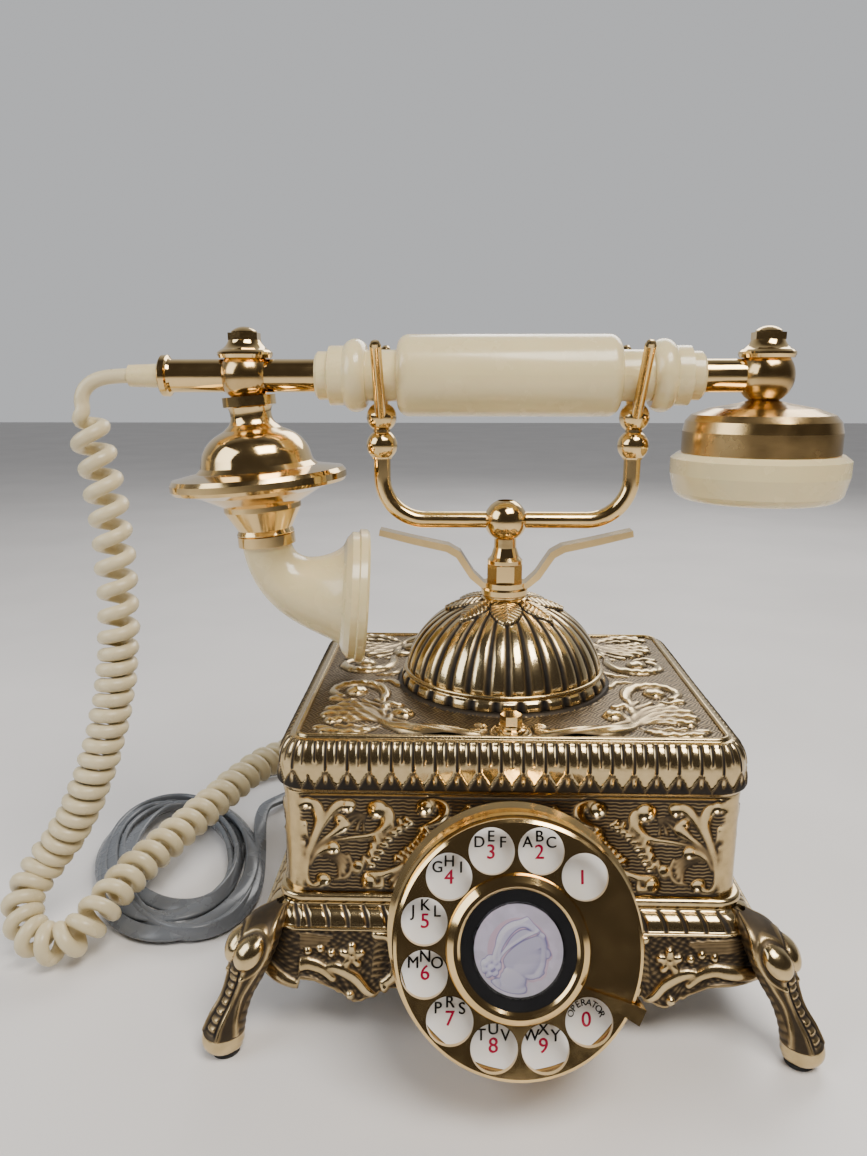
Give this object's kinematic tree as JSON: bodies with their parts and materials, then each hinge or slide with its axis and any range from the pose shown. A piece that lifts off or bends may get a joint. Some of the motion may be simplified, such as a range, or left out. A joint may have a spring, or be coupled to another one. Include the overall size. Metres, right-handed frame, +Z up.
{
  "type": "rotary telephone",
  "caption": "Ornate brass table telephone with a rotary dial, a long handset resting in a raised cradle, and curly and flat cords.",
  "frame": {"origin": "on the table, under the middle of the telephone's box without its cords", "axes": "+Z up, -Y towards the dial's side, X along the handset with the receiver at +X"},
  "size_m": [0.3334, 0.2681, 0.2474],
  "materials": {
    "antique_brass": "antiqued relief, dark in the hollows and bright on the high points",
    "polished_brass": "polished and lacquered",
    "cream_plastic": "glossy ivory",
    "dark_steel": "blackened",
    "black_felt": "matt",
    "zinc_steel": "zinc plated",
    "black_plastic": "gloss",
    "cameo_shell": "pearly",
    "clear_lens": "clear",
    "white_enamel": "white with printed characters",
    "grey_vinyl": "satin grey",
    "clear_plug": "clear moulded"
  },
  "bodies": {
    "base": {"base_frame": "antique_brass", "body_shell": "antique_brass", "lid": "antique_brass", "legs": "antique_brass", "foot_pads": "black_felt", "dome": "antique_brass", "dome_ring": "antique_brass", "lid_bolts": "polished_brass", "post_collar": "polished_brass", "post_nuts": "polished_brass", "wing_plate": "polished_brass", "bottom_plate": "zinc_steel", "bottom_screws": "zinc_steel", "number_plate": "white_enamel", "dial_housing": "polished_brass", "finger_stop": "polished_brass", "dial_frame": "zinc_steel", "dial_spring": "zinc_steel", "pulse_contacts": "zinc_steel", "gongs": "zinc_steel", "ringer_frame": "zinc_steel", "ringer_coils": "black_plastic", "switch_frame": "zinc_steel", "switch_contacts": "zinc_steel", "switch_spring": "zinc_steel", "network_block": "black_plastic", "cord_glands": "black_plastic", "curly_lead": "cream_plastic", "curly_cord": "cream_plastic", "curly_tail": "cream_plastic", "line_leads": "grey_vinyl", "line_cord": "grey_vinyl", "line_plug": "clear_plug"},
    "cradle": {"ball_stem": "polished_brass", "rod_set_screw": "dark_steel", "cradle_rod": "polished_brass", "forks": "polished_brass"},
    "dial_wheel": {"finger_wheel": "polished_brass", "hub_ring": "polished_brass", "card_retainer": "black_plastic", "cameo": "cameo_shell", "cameo_lens": "clear_lens", "dial_shaft": "zinc_steel"},
    "pulse_drive": {"pulse_pinion": "zinc_steel"},
    "governor": {"governor": "zinc_steel"},
    "clapper": {"clapper": "zinc_steel"},
    "handset": {"grip_upper": "cream_plastic", "grip_lower": "cream_plastic", "handset_tube": "polished_brass", "finials": "polished_brass", "joint_balls": "polished_brass", "transmitter_bell": "polished_brass", "transmitter_case": "polished_brass", "transmitter_capsule": "black_plastic", "horn": "cream_plastic", "receiver_shell": "polished_brass", "ear_ring": "cream_plastic", "ear_cap": "cream_plastic", "receiver_capsule": "black_plastic", "strain_relief": "cream_plastic"}
  },
  "joints": [
    {"name": "handset_lift", "type": "slide", "parent": "base", "child": "handset", "axis": [0, 0, 1], "range_m": [0, 0.034], "deforming": ["curly_lead", "curly_cord"]},
    {"name": "cradle_rise", "type": "slide", "parent": "base", "child": "cradle", "axis": [0, 0, 1], "range_m": [0, 0.006], "stiffness_N_per_m": 150, "springref_m": 0.012, "deforming": ["switch_spring"]},
    {"name": "dial_spin", "type": "hinge", "parent": "base", "child": "dial_wheel", "pos_m": [0, -0.0942, 0.0588], "axis": [0, -0.9304, 0.3665], "range_deg": [-330, 0], "stiffness_Nm_per_rad": 0.004, "springref_deg": 57.3},
    {"name": "pinion_spin", "type": "hinge", "parent": "base", "child": "pulse_drive", "pos_m": [0, -0.07332, 0.07089], "axis": [0, -0.9304, 0.3665], "range_deg": [-1, 1981]},
    {"name": "governor_spin", "type": "hinge", "parent": "base", "child": "governor", "pos_m": [0.01225, -0.07332, 0.07089], "axis": [0, -0.9304, 0.3665], "range_deg": [-11882, 4]},
    {"name": "clapper_swing", "type": "hinge", "parent": "base", "child": "clapper", "pos_m": [0, 0.023, 0.048], "axis": [0, 0, 1], "range_deg": [-5, 5], "stiffness_Nm_per_rad": 0.002}
  ],
  "couplings": [
    {"joint": "cradle_rise", "follows": "handset_lift", "ratio": 0.17647},
    {"joint": "pinion_spin", "follows": "dial_spin", "ratio": -6},
    {"joint": "governor_spin", "follows": "dial_spin", "ratio": 36}
  ]
}
